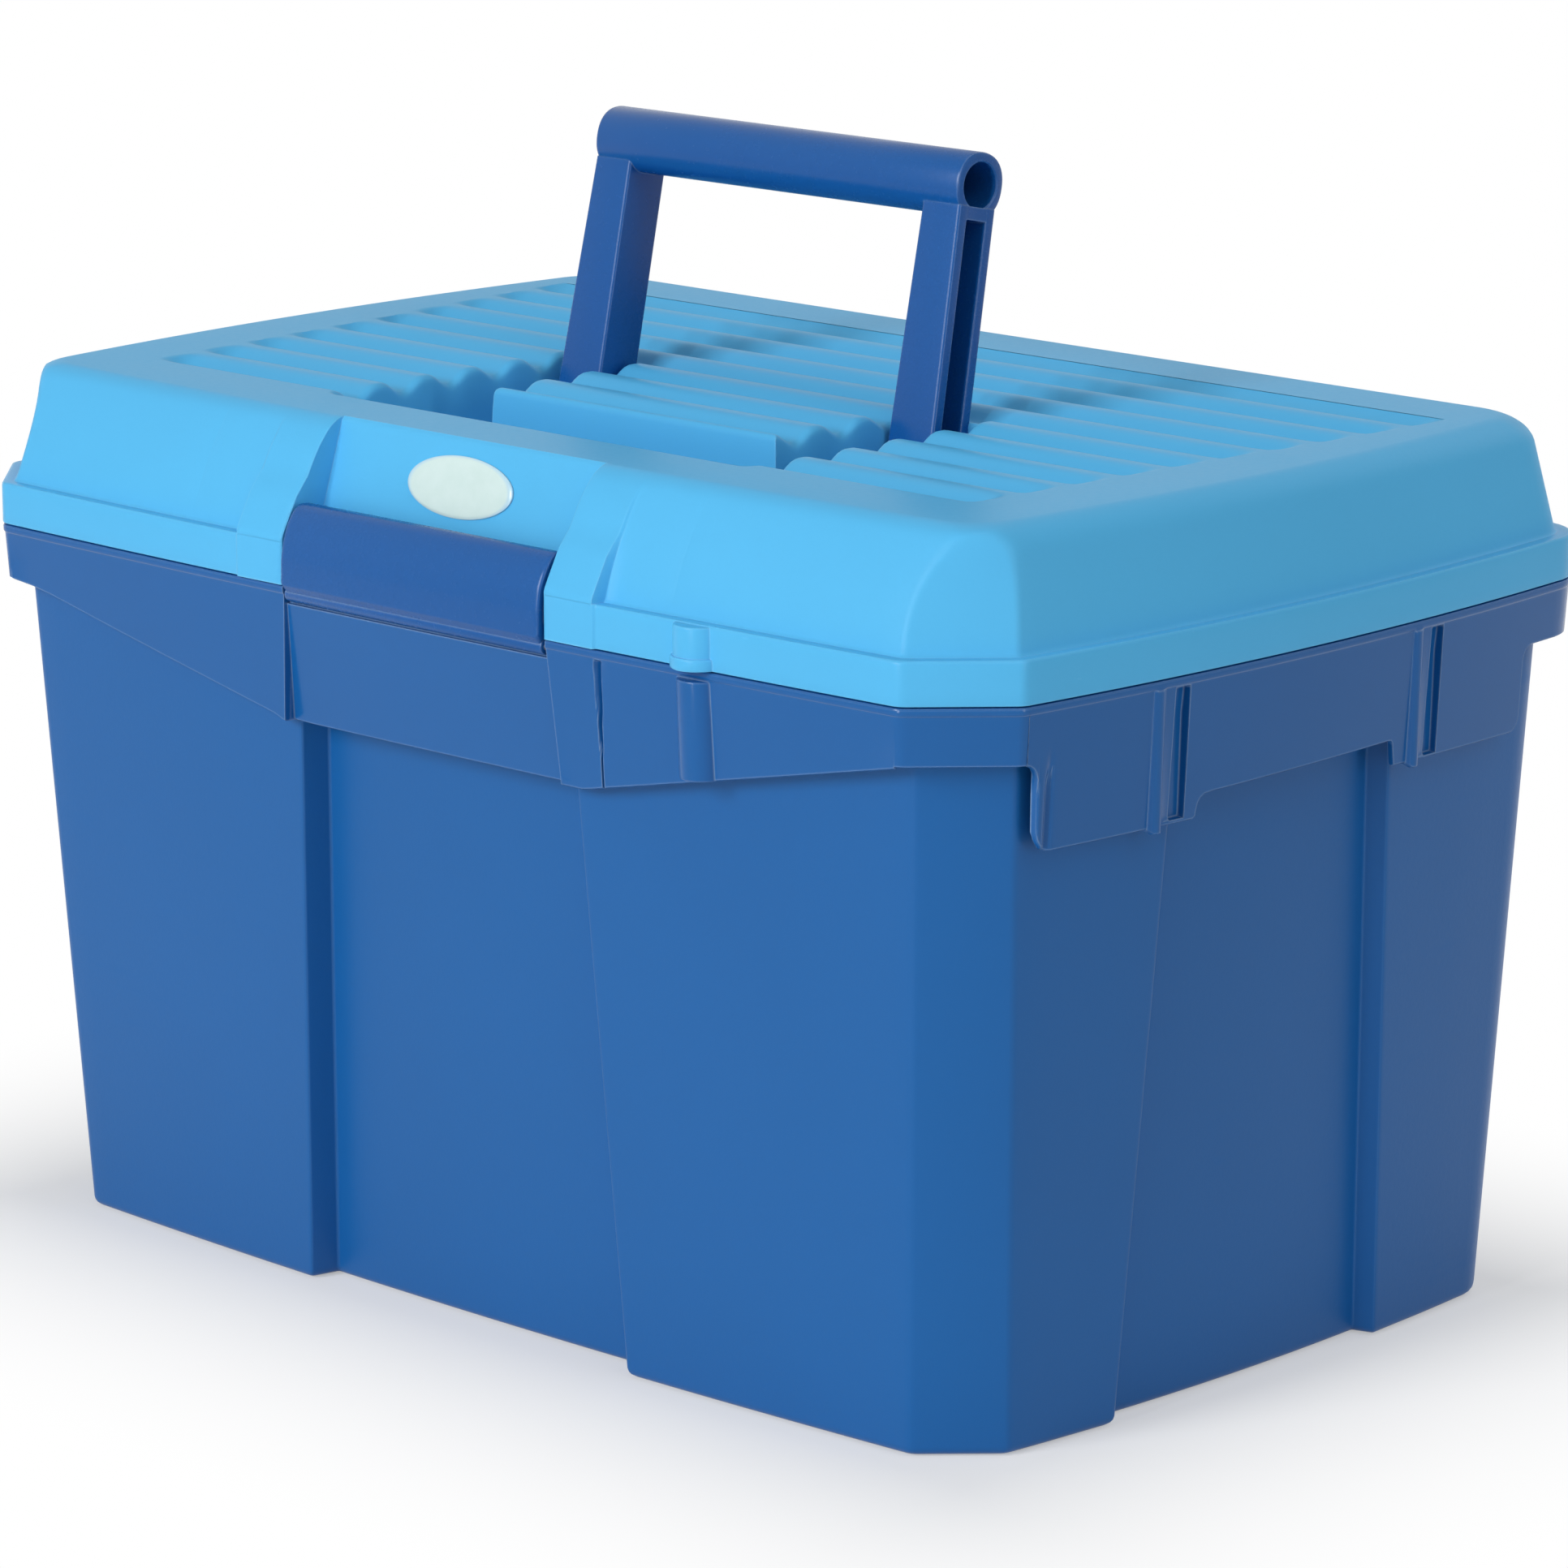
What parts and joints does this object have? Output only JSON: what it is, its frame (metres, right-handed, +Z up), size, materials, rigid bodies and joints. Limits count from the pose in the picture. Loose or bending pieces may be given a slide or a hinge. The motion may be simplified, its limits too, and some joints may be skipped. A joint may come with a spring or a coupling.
{
  "type": "lidded carry box",
  "caption": "Lidded plastic carry box with ribbed hinged lid, fold-down handle, front latch flap and lift-out insert tray.",
  "frame": {"origin": "middle of the tub's flat underside, midway between the side walls and between the front corners and the back wall", "axes": "+X to the right seen from the latch side, +Y to the hinges at the back, +Z up"},
  "size_m": [0.4, 0.2693, 0.313],
  "materials": {
    "tub_plastic": "satin moulded polypropylene, dark blue",
    "lid_plastic": "satin moulded polypropylene, light blue",
    "handle_plastic": "satin moulded polypropylene, dark blue",
    "tray_plastic": "satin moulded polypropylene, dark blue",
    "label": "glossy domed plastic, pale",
    "pin_steel": "drawn steel wire"
  },
  "bodies": {
    "tub": {"tub": "tub_plastic", "hinge_pin_left": "pin_steel", "hinge_pin_right": "pin_steel", "latch_pin": "pin_steel"},
    "lid": {"lid": "lid_plastic", "label_plate": "label"},
    "handle": {"carry_handle": "handle_plastic"},
    "latch": {"latch_flap": "handle_plastic"},
    "tray": {"insert_tray": "tray_plastic"}
  },
  "joints": [
    {"name": "lid_hinge", "type": "hinge", "parent": "tub", "child": "lid", "pos_m": [0, 0.132, 0.199], "axis": [-1, 0, 0], "range_deg": [0, 105]},
    {"name": "handle_fold", "type": "hinge", "parent": "lid", "child": "handle", "pos_m": [0, 0.0008, 0.233], "axis": [1, 0, 0], "range_deg": [0, 102]},
    {"name": "latch_turn", "type": "hinge", "parent": "tub", "child": "latch", "pos_m": [0, -0.1271, 0.1979], "axis": [1, 0, 0], "range_deg": [0, 85]},
    {"name": "tray_lift", "type": "slide", "parent": "tub", "child": "tray", "axis": [0, 0, 1], "range_m": [0, 0.025]}
  ]
}
